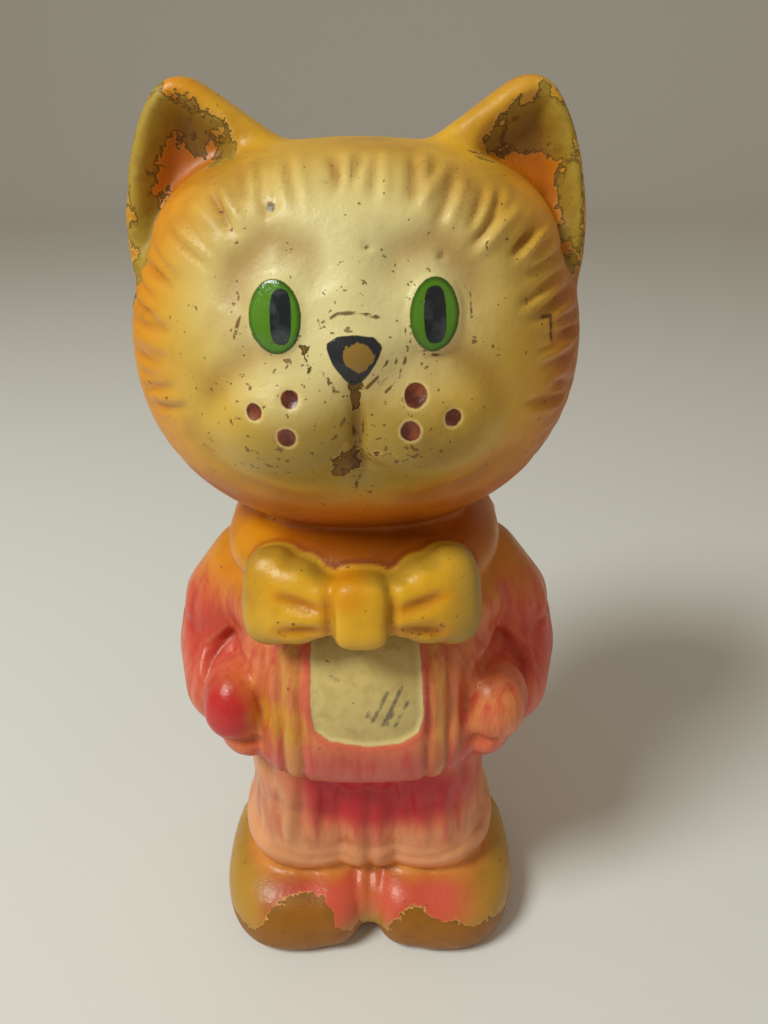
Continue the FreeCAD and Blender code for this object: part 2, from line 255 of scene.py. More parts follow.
# ---------------------------------------------------------------- form of the bow tie
# A fat tied bow against the collar: two wings that swell outwards and a square knot.
bow = []
for side in SIDES:
    bow.append(fuse("wing", [ball((side * 16.4, -25.0, 95.8), (5.2, 5.2, 9.2),
                                  (-16, 0, side * 13), power=2.8),
                             ball((side * 12.4, -26.4, 95.6), (6.2, 5.4, 7.8),
                                  (-16, 0, side * 12), power=3.0),
                             ball((side * 8.0, -27.8, 95.6), (6.0, 4.9, 5.7),
                                  (-16, 0, side * 10), power=3.0)],
                    0.7, 10))
bow.append(fuse("knot", [ball((0, -29.2, 95.4), (5.2, 5.4, 6.7), (-14, 0, 0), power=4.0)],
                0.7, 2))

bow_points = np.vstack([coords(lump) for lump in bow]) / MM

# ---------------------------------------------------------------- one skin
# All forms melt into the one outer surface that the mould pressed. Everything finer is then
# pushed in or raised on it, as a modeller works clay, and the same places are painted.
GRAIN = 0.72
skin = fuse("skin", [head, trunk, *arms, *legs, *bow], GRAIN, 2)
form = coords(skin) / MM
form[:, 2] = np.maximum(form[:, 2], 0)
lift_sum = np.zeros(len(form))
bow_tree = KDTree(len(bow_points))
for k, point in enumerate(bow_points):
    bow_tree.insert(point, k)
bow_tree.balance()
FAR = 9.0
from_bow = np.full(len(form), FAR)
near_bow = (form[:, 1] < -17) & (form[:, 2] > 84) & (form[:, 2] < 108)
for k in np.flatnonzero(near_bow):
    from_bow[k] = bow_tree.find(form[k])[2]


def facing_now():
    put_coords(skin, form * MM)
    no = np.empty(len(form) * 3)
    skin.data.vertex_normals.foreach_get("vector", no)
    return no.reshape(-1, 3)


facing = facing_now()
VIEWS = {"front": ((0, 2), (0, -1, 0)), "back": ((0, 2), (0, 1, 0)),
         "left": ((1, 2), (-1, 0, 0)), "right": ((1, 2), (1, 0, 0))}


def seen(view):
    """1 where the surface faces that view, falling to 0 where it turns away."""
    return np.clip((facing @ np.array(VIEWS[view][1], float)) * 3, 0, 1)


def along(points, path):
    """Distance of each point to a path, and how far along the path it lies, from 0 to 1."""
    best = np.full(len(points), 1e9)
    place = np.zeros(len(points))
    path = [np.array(p, float) for p in path]
    lengths = [np.linalg.norm(b - a) for a, b in zip(path, path[1:])]
    total, gone = sum(lengths), 0.0
    for a, b, length in zip(path, path[1:], lengths):
        t = np.clip((points - a) @ (b - a) / length ** 2, 0, 1)
        d = np.linalg.norm(points - a - t[:, None] * (b - a), axis=1)
        nearer = d < best
        best[nearer] = d[nearer]
        place[nearer] = (gone + t[nearer] * length) / total
        gone += length
    return best, place


def push(amount, where=slice(None), marked=1.0):
    """Moves the surface outwards; marked is the share that gathers grime and painted shade or
    rubs bare.
    """
    form[where] += facing[where] * amount[:, None]
    lift_sum[where] += amount * marked


def stroke(view, path, width, lift, ends=0.5, marked=1.0):
    """A ridge, or a groove if lift is negative, that runs out at its ends."""
    axes = VIEWS[view][0]
    path = np.array(path, float)
    low, high = path.min(0) - 3 * width, path.max(0) + 3 * width
    flat = form[:, axes]
    where = np.flatnonzero(((flat > low) & (flat < high)).all(1) & (seen(view) > 0))
    if not len(where):
        return
    d, t = along(flat[where], path)
    fade = np.clip(np.sin(np.pi * np.clip(t, 0.01, 0.99)), 0, 1) ** ends if ends else 1.0
    push(lift * np.exp(-(d / width) ** 2) * fade * seen(view)[where], where, marked)


def inside(flat, outline):
    """Signed distance to a closed outline, positive inside."""
    outline = [np.array(p, float) for p in outline]
    d, _ = along(flat, outline + outline[:1])
    within = np.zeros(len(flat), bool)
    for a, b in zip(outline, outline[1:] + outline[:1]):
        crosses = (a[1] > flat[:, 1]) != (b[1] > flat[:, 1])
        x = a[0] + (flat[:, 1] - a[1]) * (b[0] - a[0]) / ((b[1] - a[1]) or 1e-9)
        within ^= crosses & (flat[:, 0] < x)
    return np.where(within, d, -d)


def smooth(low, high, value):
    t = np.clip((value - low) / (high - low), 0, 1)
    return t * t * (3 - 2 * t)


def patch(view, outline, lift, soft):
    """Raises or sinks an outlined patch, with a shoulder that is soft millimetres wide."""
    flat = form[:, VIEWS[view][0]]
    push(lift * smooth(-soft / 2, soft / 2, inside(flat, outline)) * seen(view), marked=0)


def spot(view, centre, half, lift):
    flat = (form[:, VIEWS[view][0]] - np.array(centre)) / np.array(half)
    push(lift * np.exp(-(flat ** 2).sum(1)) * seen(view))


def oval(centre, half, corners=28):
    return [(centre[0] + half[0] * math.cos(2 * math.pi * k / corners),
             centre[1] + half[1] * math.sin(2 * math.pi * k / corners)) for k in range(corners)]


# ---------------------------------------------------------------- relief of the ears
# Each ear is scooped out in front and keeps a rounded rim.
SCOOP = [(17.5, 168), (21, 172.5), (25.5, 176.4), (29.5, 178.2), (32.6, 177), (35.3, 172.5),
         (37.4, 166.5), (38.6, 159), (38.4, 151), (35.5, 146), (29, 150), (22, 160)]
for side in SIDES:
    outline = [(side * x, z) for x, z in SCOOP]
    flat = form[:, (0, 2)]
    depth = smooth(-0.5, 5.5, inside(flat, outline)) * seen("front")
    depth *= smooth(-9.5, -6.0, form[:, 1])
    form[:, 1] += 4.0 * depth
    # the scoop's depth also feeds the paint's darkening, grime together with painted shade
    lift_sum -= 1.5 * depth
facing = facing_now()

# ---------------------------------------------------------------- relief of the face
# Combed hair fans over the brow and down the cheeks; the eyes lie in soft hollows, the muzzle is
# two pads with a cleft, and the whiskers grow from small pits.
rng = np.random.default_rng(7)
MUZZLE_PITS = [(-15.6, 133.4), (-10.0, 135.5), (-10.6, 129.9), (9.0, 136.0), (14.8, 132.5),
               (8.2, 130.9)]
for side in SIDES:
    stroke("front", [(side * 19, 147), (side * 17.4, 153.5), (side * 12.5, 157.6),
                     (side * 6.6, 156), (side * 4.4, 150)], 3.0, -1.15)
    stroke("front", [(side * 5.5, 140.5), (side * 10, 142.2), (side * 15.5, 141.6),
                     (side * 21, 137.5), (side * 25, 131)], 2.4, -0.85)
    stroke("front", [(side * 2, 117.5), (side * 10, 115.6), (side * 20, 118.5),
                     (side * 27, 125)], 1.8, -0.7)
    patch("front", oval((side * 11.8, 147.2), (4.2, 5.5)), 0.55, 1.0)
stroke("front", [(0, 160), (0, 146)], 4.5, 0.6)
spot("front", (-0.3, 141.4), (5.2, 4.2), 1.7)
stroke("front", [(0, 138.2), (0.3, 132), (-0.1, 126), (0.2, 122)], 1.0, -1.2, 0.3)
stroke("front", [(-5.5, 123), (-0.5, 125.4), (5, 123.4)], 1.1, -0.5)
for centre in MUZZLE_PITS:
    patch("front", oval(centre, (1.35, 1.35)), -0.45, 0.7)
PITS = [(-12.2, 161.8, 0.95), (2.0, 156.6, 0.5), (12.8, 155.2, 0.6), (-4.2, 165, 0.4)]
for u, v, radius in PITS:
    patch("front", oval((u, v), (radius, radius)), -0.45, 0.6)
facing = facing_now()
HAIRS = 46
HAIRLINE = (39.6, 29.8)
for k in range(HAIRS):
    angle = math.radians(-20 + 220 * k / (HAIRS - 1) + rng.uniform(-2.5, 2.5))
    outer = 0.97 + rng.uniform(-0.02, 0.03)
    inner = outer - rng.uniform(0.15, 0.27)
    sway = math.radians(rng.uniform(-4, 4))
    hair = [(HAIRLINE[0] * r * math.cos(angle + a) - 0.5,
             HAIRLINE[1] * r * math.sin(angle + a) + 140)
            for r, a in ((outer, 0), ((outer + inner) / 2, sway / 2), (inner, sway))]
    strength = 0.85 if math.cos(angle) > 0.3 else 0.65
    stroke("front", hair, 0.8, -strength)
    stroke("front", [(x + 1.5 * math.sin(angle), z - 1.5 * math.cos(angle)) for x, z in hair],
           0.9, strength * 0.7)
for side in SIDES:
    for k in range(7):
        z = 137 - 3.4 * k
        edge = 39.5 * math.sqrt(max(0.05, 1 - ((z - 133) / 38) ** 2))
        stroke("front", [(side * (edge - 0.5), z + 2.4), (side * (edge - 3), z + 0.6),
                         (side * (edge - 7), z - 0.3)], 0.9, -0.45 if side > 0 else -0.3)

stroke("front", [(28.4, 144.6), (31.4, 145.2), (31.8, 140.8)], 0.5, -0.45, 0.2)
for x0, z0, x1, z1 in ((-31, 116.5, -25, 112.5), (-27, 113.6, -20, 110.4), (31, 117, 24, 112)):
    stroke("front", [(x0, z0), (x1, z1)], 0.8, -0.5)

# ---------------------------------------------------------------- relief of the bow tie
# Two pleats in each wing run out from the knot.
PLEATS = []
for side in SIDES:
    PLEATS += [[(side * 6.6, 97.2), (side * 10, 97.9), (side * 15, 99.1)],
               [(side * 6.6, 93.4), (side * 10, 92.9), (side * 15, 92.3)]]
for path in PLEATS:
    stroke("front", path, 1.1, -1.1)
for side in SIDES:
    stroke("front", [(side * 6.6, 95.3), (side * 10, 95.4), (side * 13.5, 95.5)], 1.0, 0.5)
    stroke("front", [(side * 5.7, 100), (side * 5.5, 96), (side * 5.7, 91)], 0.8, -1.0, 0.3)

# ---------------------------------------------------------------- relief of the clothes
# A recessed shirt front between flat lapels, hanging folds, rolled cuffs and turned-up hems.
SHIRT = [(-9.9, 88), (-10.0, 72), (-9.4, 68), (-6.6, 65.8), (0, 64.8), (7, 65.2), (10.4, 67),
         (11.6, 71), (10.9, 82), (10.3, 88)]
patch("front", SHIRT, -0.75, 0.9)
# the trousers' folds, each its x, its low and high ends and its lift
FOLDS = ((5.6, 34, 52, -0.45), (9.2, 29, 53, -0.7), (11.6, 29, 46, 0.4), (14.4, 27, 52, -0.75),
         (17.2, 26, 44, 0.4), (19.8, 24, 46, -0.6), (24.5, 24, 40, -0.5))
hem = smooth(50.6, 49.2, form[:, 2]) * smooth(36, 44, form[:, 2])
hem *= np.maximum(seen("front"), seen("back")) * smooth(24, 21, np.abs(form[:, 0]))
push(-0.35 * hem, marked=0)
facing = facing_now()
for side in SIDES:
    stroke("front", [(side * 12.3, 84.5), (side * 12.6, 72), (side * 12.2, 51)], 0.7, -0.8, 0.2)
    stroke("front", [(side * 16.4, 84), (side * 16.9, 72), (side * 16.2, 51)], 0.8, -0.9, 0.2)
    stroke("front", [(side * 19.6, 83.5), (side * 20.4, 72), (side * 19, 52)], 1.0, -0.8)
    stroke("front", [(side * 22.4, 60), (side * 20.8, 52), (side * 21.4, 44)], 1.2, -0.7)
    for x, low, high, lift in FOLDS:
        stroke("front", [(side * (x - 0.8), high), (side * x, (low + high) / 2),
                         (side * (x + 0.9), low)], 1.0, lift, marked=0.3)
        stroke("back", [(side * (x - 0.5), high), (side * x, (low + high) / 2),
                        (side * (x + 0.7), low)], 1.1, lift, marked=0.3)
    stroke("front", [(side * 35, 66), (side * 34.4, 74), (side * 29, 78.8), (side * 22, 78)],
           1.1, 0.6)
    stroke("front", [(side * 33.4, 64), (side * 32.8, 72), (side * 28.4, 76.6),
                     (side * 22.4, 75.6)], 0.9, -0.9)
    stroke("front", [(side * 20, 62.5), (side * 24, 61.4), (side * 29, 62.6)], 0.9, -0.8)
    stroke("front", [(side * 22, 57.6), (side * 25, 57), (side * 28, 58)], 0.8, -0.5)
    side_view = "right" if side > 0 else "left"
    for y0, z0, y1, z1 in ((-4, 86, -9, 76), (0, 84, -4, 72), (5, 86, 5, 72), (9, 80, 6, 66)):
        stroke(side_view, [(y0, z0), ((y0 + y1) / 2 + 1, (z0 + z1) / 2), (y1, z1)], 1.3, -0.55)
    stroke(side_view, [(-12, 72), (-6, 77), (2, 78)], 1.0, -0.5)
    stroke("front", [(side * 28, 27), (side * 15, 23.6), (side * 3, 22.8)], 0.8, -0.4)
stroke("front", [(0.6, 48), (0.4, 40), (0.2, 24), (0.1, 4)], 1.3, -1.1, 0.3, marked=0.4)
stroke("back", [(0, 52), (0, 38), (0, 20)], 1.2, -1.0, 0.3)
stroke("back", [(0, 88), (0, 72), (0, 56)], 0.8, -0.6, 0.2)
facing = facing_now()

# ---------------------------------------------------------------- mould line
# The two halves of the mould left a fine raised line up both sides and over the head.
SEAM_WIDTH, SEAM_HEIGHT = 0.7, 0.22
ridge = np.exp(-((form[:, 1] - SEAM_Y) / SEAM_WIDTH) ** 2) * (1 - np.abs(facing[:, 1])) ** 2
form += facing * (SEAM_HEIGHT * ridge * smooth(0.5, 3, form[:, 2]))[:, None]
form[:, 2] = np.maximum(form[:, 2], 0)
facing = facing_now()

# ---------------------------------------------------------------- sprayed paint
# Thin matt coats were misted on over bare ochre rubber: orange over the head with a cream face,
# salmon clothes with pink and red shadows, a yellow bow and a cream shirt.
RUBBER = (0.34, 0.12, 0.004)
DARK_RUBBER = (0.23, 0.115, 0.011)
AGED_RUBBER = (0.42, 0.27, 0.026)
ORANGE = (0.70, 0.27, 0.002)
EAR_ORANGE = (0.80, 0.29, 0.004)
DEEP_ORANGE = (0.52, 0.13, 0.003)
# umber is laid only where the head and collar fall into shade: painted shade
PAINTED_SHADE_UMBER = (0.34, 0.085, 0.003)
YELLOW = (0.80, 0.42, 0.012)
BUTTER = (0.66, 0.42, 0.065)
CREAM = (0.76, 0.65, 0.32)
TAN = (0.62, 0.38, 0.05)
OLIVE = (0.36, 0.23, 0.037)
SALMON = (0.76, 0.26, 0.09)
PALE_SALMON = (0.82, 0.38, 0.19)
PEACH = (0.82, 0.42, 0.20)
PINK = (0.74, 0.11, 0.075)
MAUVE = (0.62, 0.12, 0.095)
RED = (0.55, 0.012, 0.022)
OCHRE = (0.50, 0.26, 0.03)
SHIRT_CREAM = (0.66, 0.50, 0.19)
x, y, z = form.T
front, behind = seen("front"), seen("back")
coat = np.tile(np.array(SALMON), (len(form), 1))


def mist(colour, amount):
    """Sprays a coat over what is there; amount runs from 0 to 1 at each point."""
    amount = np.clip(amount, 0, 1)[:, None]
    coat[:] = coat * (1 - amount) + np.array(colour) * amount


def cloud(centre, half, soft=0.4):
    """1 inside an egg-shaped space, fading to 0 around it."""
    d = np.sqrt((((form - centre) / half) ** 2).sum(1))
    return smooth(1 + soft, 1 - soft, d)


def flat_to(view, outline):
    """Signed millimetres to an outline on the faces of one view, -FAR elsewhere."""
    near = inside(form[:, VIEWS[view][0]], outline)
    return np.where(seen(view) > 0.02, np.clip(near, -FAR, FAR), -FAR)


# head: a cream face that turns tan and olive on the muzzle, orange round the edge
above = smooth(97, 102, z)
mist(ORANGE, above)
mist(TAN, above * cloud((0, 0, 168), (30, 34, 14), 0.35) * 0.75)
mist(BUTTER, above * cloud((0, -24, 140), (36, 22, 28), 0.25) * front * 0.95)
mist(CREAM, above * cloud((-1, -28, 150), (21, 24, 16), 0.5) * front)
mist(TAN, above * smooth(12, 30, x) * smooth(128, 160, z) * front * 0.45)
mist(OLIVE, cloud((0, -32, 126.5), (19, 14, 9.5), 0.4) * front * 0.9)
# a paler cream on the upper left muzzle pad: partly paint and partly a painted highlight on the
# lit pad
mist(CREAM, cloud((-11, -34, 136), (8, 10, 4), 0.6) * front * 0.35)
mist(TAN, cloud((24, -24, 130), (12, 16, 16), 0.5) * front * 0.5)
mist(ORANGE, above * smooth(-25, -38, x) * front * 0.85)
mist(ORANGE, above * smooth(20, 36, x) * front * smooth(150, 128, z) * 0.8)
mist(DEEP_ORANGE, smooth(121, 112, z) * smooth(98, 104, z) * 0.9)
# painted shade: deep orange and umber darken the right side of the head and the right jaw, the
# side turned away from the light
mist(DEEP_ORANGE, above * smooth(28, 38, x) * smooth(160, 148, z) * 0.8)
mist(PAINTED_SHADE_UMBER, above * smooth(31, 38, x) * smooth(160, 148, z) * 0.35)
mist(DEEP_ORANGE, above * cloud((24, -16, 118), (16, 20, 8), 0.5) * 0.5)

# ears: orange low down in the scoops, yellow rims
for side in SIDES:
    mist(EAR_ORANGE, cloud((side * 27, 0, 160), (9, 14, 12), 0.3) * front)
    mist(YELLOW, cloud((side * 18, 0, 172), (10, 14, 8), 0.4) * 0.5)
    mist(OCHRE, smooth(36, 40, side * x) * smooth(146, 154, z) * 0.6)

# collar and shoulders, with a painted shadow under the chin and painted shade down the right side
collar = smooth(85, 92, z) * smooth(106, 102, z) * smooth(33, 29, np.hypot(x, y))
mist(DEEP_ORANGE, collar * 0.95)
mist(ORANGE, cloud((-22, -16, 100), (8, 10, 9), 0.5) * 0.9)
# painted shadow of the head under the chin, and painted shade on the right of the collar
mist(PAINTED_SHADE_UMBER, cloud((2, -24, 103), (20, 9, 6), 0.5) * 0.85)
mist(PAINTED_SHADE_UMBER, cloud((24, -16, 98), (8, 14, 8), 0.5) * 0.6)
for side in SIDES:
    mist(ORANGE, cloud((side * 26, -4, 90), (13, 24, 11), 0.5) * 0.75)
# painted shade on the right shoulder
mist(DEEP_ORANGE, cloud((30, 2, 84), (9, 20, 10), 0.5) * 0.6)

# jacket and sleeves
mist(MAUVE, cloud((0, 0, 57), (44, 60, 8), 0.5) * 0.95)
mist(PINK, cloud((0, 0, 75), (44, 40, 14), 0.6) * 0.35)
for side in SIDES:
    mist(PINK, cloud((side * 31, -4, 72), (12, 22, 13), 0.5) * 0.6)
mist(ORANGE, cloud((-25, -24, 66), (8.5, 12, 9), 0.3) * 0.55)
mist(RED, cloud((-27.4, -24, 68.4), (5.8, 10, 6.6), 0.35) * 0.95)
mist(ORANGE, cloud((25, -24, 66), (8.5, 12, 9), 0.3) * 0.2)
mist(SALMON, cloud((25, -26, 66), (6, 10, 7), 0.4) * 0.8)
for side in SIDES:
    mist(PINK, cloud((side * 24, -18, 58), (9, 12, 6), 0.5) * 0.6)
mist(RED, cloud((-35, -4, 77), (7, 16, 10), 0.6) * 0.5)
mist(RED, cloud((36, -6, 70), (7, 14, 10), 0.6) * 0.4)
mist(TAN, smooth(11.8, 12.8, np.abs(x)) * smooth(16.8, 15.8, np.abs(x)) * smooth(50, 54, z)
     * smooth(92, 82, z) * front * 0.45)
mist(YELLOW, cloud((-15.5, -30, 68.5), (6.5, 9, 3.6), 0.45) * 0.6)
mist(OCHRE, cloud((-15, -30, 66.5), (4.5, 9, 2.6), 0.5) * 0.5)

# a brushed red line round the shirt front
mist(PINK, np.exp(-((flat_to("front", SHIRT) + 0.9) / 0.6) ** 2) * 0.75)

# trousers and shoes
mist(PINK, cloud((2, 0, 36), (20, 44, 8), 0.6) * 0.6)
mist(RED, cloud((2, 0, 43.5), (25, 60, 10.4), 0.3) * (1 - 0.6 * behind))
mist(PALE_SALMON, smooth(36, 27, z) * smooth(17, 21, z) * 0.6)
mist(PEACH, cloud((-22, -16, 38), (9, 14, 14), 0.5) * 0.7)
mist(ORANGE, smooth(22, 18, z) * smooth(13, 16, z) * 0.45)
shoe = smooth(17.8, 16, z)
mist(OCHRE, shoe)
for side in SIDES:
    mist(RED, cloud((side * 12, -22, 14), (9.5, 13, 6.5), 0.5) * shoe * 0.75)
    mist(PINK, cloud((side * 13, -24, 13), (11, 12, 7), 0.5) * shoe * 0.6)
mist(PINK, cloud((0, -26, 15), (7, 12, 6), 0.5) * shoe * 0.5)

# bow, with olive laid on as painted shade on its underside, its turned-away edges and its right
# wing
dyed = smooth(1.3, 0.6, from_bow)
mist(YELLOW, dyed)
mist(OCHRE, dyed * 0.18)
# painted shade: olive darkens the bow's underside and the faces that turn away from the front
mist(OLIVE, dyed * smooth(93.5, 88, z) * 0.75)
mist(OLIVE, dyed * smooth(-0.75, -0.3, facing[:, 1]) * 0.6)
mist(OCHRE, dyed * smooth(15.5, 21.5, np.abs(x)) * 0.5)
# painted shade on the right wing
mist(OLIVE, dyed * smooth(13, 21, x) * 0.8)
for path in PLEATS:
    near = along(form[:, (0, 2)], path)[0]
    mist(ORANGE, dyed * np.exp(-(near / 1.3) ** 2) * 0.75)
mist(ORANGE, dyed * cloud((-2.5, -31, 100.5), (4, 8, 3.2), 0.5) * 0.8)

# ---------------------------------------------------------------- hand-painted marks and wear
# Eyes, nose and freckles were brushed on; where the paint has flaked the bare rubber shows.
# Outlines are (x, z), and every mark is positive inside its outline.
IRISES = (((-11.8, 147.1), (4.0, 5.35)), ((11.8, 147.3), (3.7, 5.3)))
PUPILS = (((-10.9, 147.2), (1.65, 4.0), 0.03), ((11.9, 147.3), (1.7, 4.1), -0.02))
flat = form[:, (0, 2)]
marks = {}


def bar(centre, half, lean=0.0):
    """A rounded upright bar, as a ring of points."""
    cx, cz = centre
    ring = [(half[0] * math.copysign(abs(math.cos(a)) ** 0.6, math.cos(a)),
             half[1] * math.copysign(abs(math.sin(a)) ** 0.8, math.sin(a)))
            for a in (2 * math.pi * k / 24 for k in range(24))]
    return [(cx + u + lean * v, cz + v) for u, v in ring]


def any_of(view, outlines):
    """Signed millimetres to the nearest of several outlines."""
    return np.maximum.reduce([flat_to(view, outline) for outline in outlines])


def discs(places):
    """Signed millimetres to round spots, each (x, z, radius), in front."""
    near = np.full(len(form), -FAR)
    for u, v, radius in places:
        near = np.maximum(near, radius - np.hypot(flat[:, 0] - u, flat[:, 1] - v))
    return np.where(front > 0.02, near, -FAR)


def lines(paths, half_width):
    """Signed millimetres to thin lines, in front."""
    near = np.full(len(form), -FAR)
    for path in paths:
        near = np.maximum(near, half_width - along(flat, path)[0])
    return np.where(front > 0.02, near, -FAR)


marks["shirt"] = flat_to("front", SHIRT)
marks["iris"] = any_of("front", [oval(*iris) for iris in IRISES])
marks["pupil"] = any_of("front", [bar(*pupil) for pupil in PUPILS])
NOSE = [(-4.3, 143.6), (-2.6, 144.8), (0, 145.1), (2.8, 144.7), (4.2, 143.3), (3.0, 140.6),
        (1.2, 138.4), (-0.2, 137.4), (-1.6, 138.5), (-3.4, 141.0)]
marks["nose"] = flat_to("front", NOSE)
marks["nose_wear"] = flat_to("front", oval((0.6, 141.9), (2.3, 2.1)))
FRECKLE_SIZES = (1.3, 1.4, 1.5, 1.8, 1.35, 1.6)
marks["freckle"] = discs([(*pit, radius) for pit, radius in zip(MUZZLE_PITS, FRECKLE_SIZES)])
marks["pit"] = discs([(u, v, 0.8 * radius) for u, v, radius in PITS])

FLAKES = [[(-4.8, 122.5), (-3.8, 125), (-1.2, 128), (0.3, 128.3), (0.5, 124.5), (-0.5, 123),
           (-3, 121.8)],
          [(-0.9, 138), (0.5, 138), (0.2, 134), (-0.5, 133.6)],
          [(-8.3, 141), (-6.4, 140.4), (-5.8, 138), (-7.4, 137.2)],
          [(2.2, 127), (3.8, 127.2), (3.4, 125.8), (2.4, 126)],
          [(5.4, 128), (7, 128.2), (6.6, 126.9)],
          [(-8.6, 143.4), (-6.8, 143.2), (-7.6, 141.8)]]
BARE_EARS = [[(-33.6, 179.0), (-28.8, 177.4), (-23.4, 173.2), (-18.4, 166.9), (-22.1, 163.0),
              (-25.2, 168.7), (-31.5, 170.7), (-34.4, 165.8), (-33.5, 157), (-35.6, 148),
              (-38.4, 142), (-40.6, 156), (-39.8, 167.7), (-37.6, 175.6)],
             [(31.5, 178.6), (36.2, 175), (38.8, 165.8), (39.2, 151), (37, 150), (34.6, 158),
              (33.6, 166), (30, 169), (25, 168.4), (20.2, 167.2), (23, 171.6), (27, 176.4)]]
BARE_TOES = [[(-40, -1), (-40, 5), (-33, 7), (-26, 8.5), (-21.5, 13.5), (-18, 15.4), (-14, 15.0),
              (-10.5, 15.6), (-8, 12.2), (-6, 8.5), (-2, 6.5), (0, 4), (0, -1)],
             [(0, -1), (0, 5), (4, 7), (6.6, 11.6), (10.5, 14.2), (14, 12.2), (18, 12),
              (22, 10.6), (28, 9.5), (34, 7), (40, 5), (40, -1)]]
BACK_CHIPS = [[(-26, 153), (-21, 155), (-19, 151), (-23, 148)], [(14, 124), (19, 127), (21, 122)],
              [(-31, 176), (-27, 177), (-29, 170)], [(8, 66), (13, 68), (14, 63), (10, 62)],
              [(-22, 10), (-16, 14), (-9, 12), (-8, 4), (-22, 4)],
              [(12, 4), (13, 10), (20, 12), (26, 8), (26, 4)]]
SOLE_EDGE = 5.5
ear = 0.5 * any_of("front", BARE_EARS) + FAR * (smooth(-13, -9, y) - 1)
marks["bare"] = np.maximum.reduce([
    any_of("front", FLAKES + BARE_TOES), np.where(z > 140, ear, -FAR),
    0.6 * any_of("back", BACK_CHIPS),
    np.where(front > 0.3, -FAR, np.clip(SOLE_EDGE - z, -FAR, FAR))])

SPECKLED = (((-14, -30, 125.5), (5, 16, 4), 1.7), ((9, -34, 126.8), (6, 16, 2.6), 1.9),
            ((-0.3, -30, 118.5), (3, 16, 5), 1.3), ((-16.5, -30, 143), (3, 14, 4), 0.8),
            ((12.5, -30, 141), (4, 14, 2), 0.8), ((-5.5, -34, 148), (2, 14, 4), 0.7),
            ((11, -31, 93), (5, 8, 3), 1.2), ((-12, -31, 93), (5, 8, 2), 0.9))
marks["wear"] = np.clip(cloud((0, -36, 136), (16, 22, 15), 0.5) * front
                        + 0.45 * cloud((-16, -34, 140), (12, 20, 12), 0.5) * front
                        + 0.3 * smooth(0.3, 0.7, above) * front, 0, 1)
for centre, half, amount in SPECKLED:
    marks["wear"] = np.maximum(marks["wear"], cloud(centre, half, 0.5) * front * amount)
CRACKS = [[(-4.6, 146.6), (-2.4, 147.8), (0.6, 148.1), (3.6, 147.2)],
          [(5.2, 143.6), (5.0, 141.2), (3.4, 138.8), (1.6, 137.0)],
          [(6.6, 142.4), (5.8, 139.6), (3.6, 137.2)], [(7.6, 141.2), (6.6, 138.4), (4.4, 136.2)],
          [(9.6, 142.6), (11.8, 141.4), (14.2, 141.2)], [(7.2, 146.6), (8.2, 143.6)],
          [(-5.2, 139.8), (-3.4, 137.6), (-1.8, 135.8)], [(-4.2, 138.4), (-3.0, 136.0)],
          [(0.7, 133.5), (1.0, 130.6), (0.4, 127.6)], [(-0.6, 132), (-0.3, 129.2)],
          [(0.3, 121.8), (-0.4, 119.6), (0.2, 116.8)], [(0.5, 126.6), (2.8, 126.0), (5.2, 127.0)],
          [(-17.6, 150.2), (-17.2, 147), (-18.4, 143.6)], [(-20.5, 141), (-17.5, 142.4)],
          [(28.4, 144.8), (31.2, 145.0), (31.6, 141.0)], [(17.4, 150), (17.6, 146.4)]]
marks["crack"] = lines(CRACKS, 0.24)
marks["streak"] = front * np.maximum(smooth(50, 54, z) * smooth(92, 86, z)
                                     * np.maximum(smooth(8, 12, np.abs(x)), smooth(65, 62, z)),
                                     0.8 * smooth(24, 30, z) * smooth(50, 44, z))
SCRAWLS = [[(1.5, 70.5), (4.5, 77)], [(3.5, 69.5), (7.2, 77.8)], [(4.4, 69.8), (5.6, 72.6)],
           [(6, 69.4), (8.4, 74.6)], [(-6.2, 79.8), (-4.6, 79.2)], [(0.6, 71.8), (1.2, 73.2)]]
marks["scrawl"] = lines(SCRAWLS, 0.42)
# a dark line follows the foot of the bow: dirt and painted shade in the crease
marks["lift"] = lift_sum - 1.1 * np.exp(-((from_bow - 1.6) / 0.5) ** 2)

put_coords(skin, form * MM)
bpy.ops.object.shade_smooth()
tint = skin.data.attributes.new("coat", "FLOAT_COLOR", "POINT")
tint.data.foreach_set("color", np.column_stack([coat, np.ones(len(coat))]).ravel())
for name, values in marks.items():
    layer = skin.data.attributes.new(name, "FLOAT", "POINT")
    layer.data.foreach_set("value", np.asarray(values, dtype=np.float32))

# ---------------------------------------------------------------- finish of the skin
# Old paint on rubber: soft sheen, pinholes, cracks round the nose, grime and painted shade in the
# grooves, and ragged edges where it has come away.


def wire(tree, kind, inputs=(), **settings):
    """Adds a node; each input is a socket and the value or output it takes."""
    node = tree.nodes.new(kind)
    for key, value in settings.items():
        setattr(node, key, value)
    for socket, value in inputs:
        if isinstance(value, bpy.types.NodeSocket):
            tree.links.new(value, node.inputs[socket])
        else:
            node.inputs[socket].default_value = value
    return node


def maths(tree, operation, a, b=0.0):
    return wire(tree, "ShaderNodeMath", ((0, a), (1, b)), operation=operation).outputs[0]


def step(tree, value, low, high, bottom=0.0, top=1.0):
    """Ramps from bottom to top while value goes from low to high."""
    return wire(tree, "ShaderNodeMapRange", ((0, value), (1, low), (2, high), (3, bottom),
                                             (4, top))).outputs[0]


def over(tree, below, above, amount):
    """One colour laid over another."""
    below, above = (c if isinstance(c, bpy.types.NodeSocket) else (*c, 1.0)
                    for c in (below, above))
    return wire(tree, "ShaderNodeMix", ((0, amount), (6, below), (7, above)),
                data_type="RGBA").outputs[2]


def stain(tree, colour, tint, amount):
    """Darkens a colour towards itself times the tint."""
    return wire(tree, "ShaderNodeMix", ((0, amount), (6, colour), (7, (*tint, 1.0))),
                data_type="RGBA", blend_type="MULTIPLY").outputs[2]


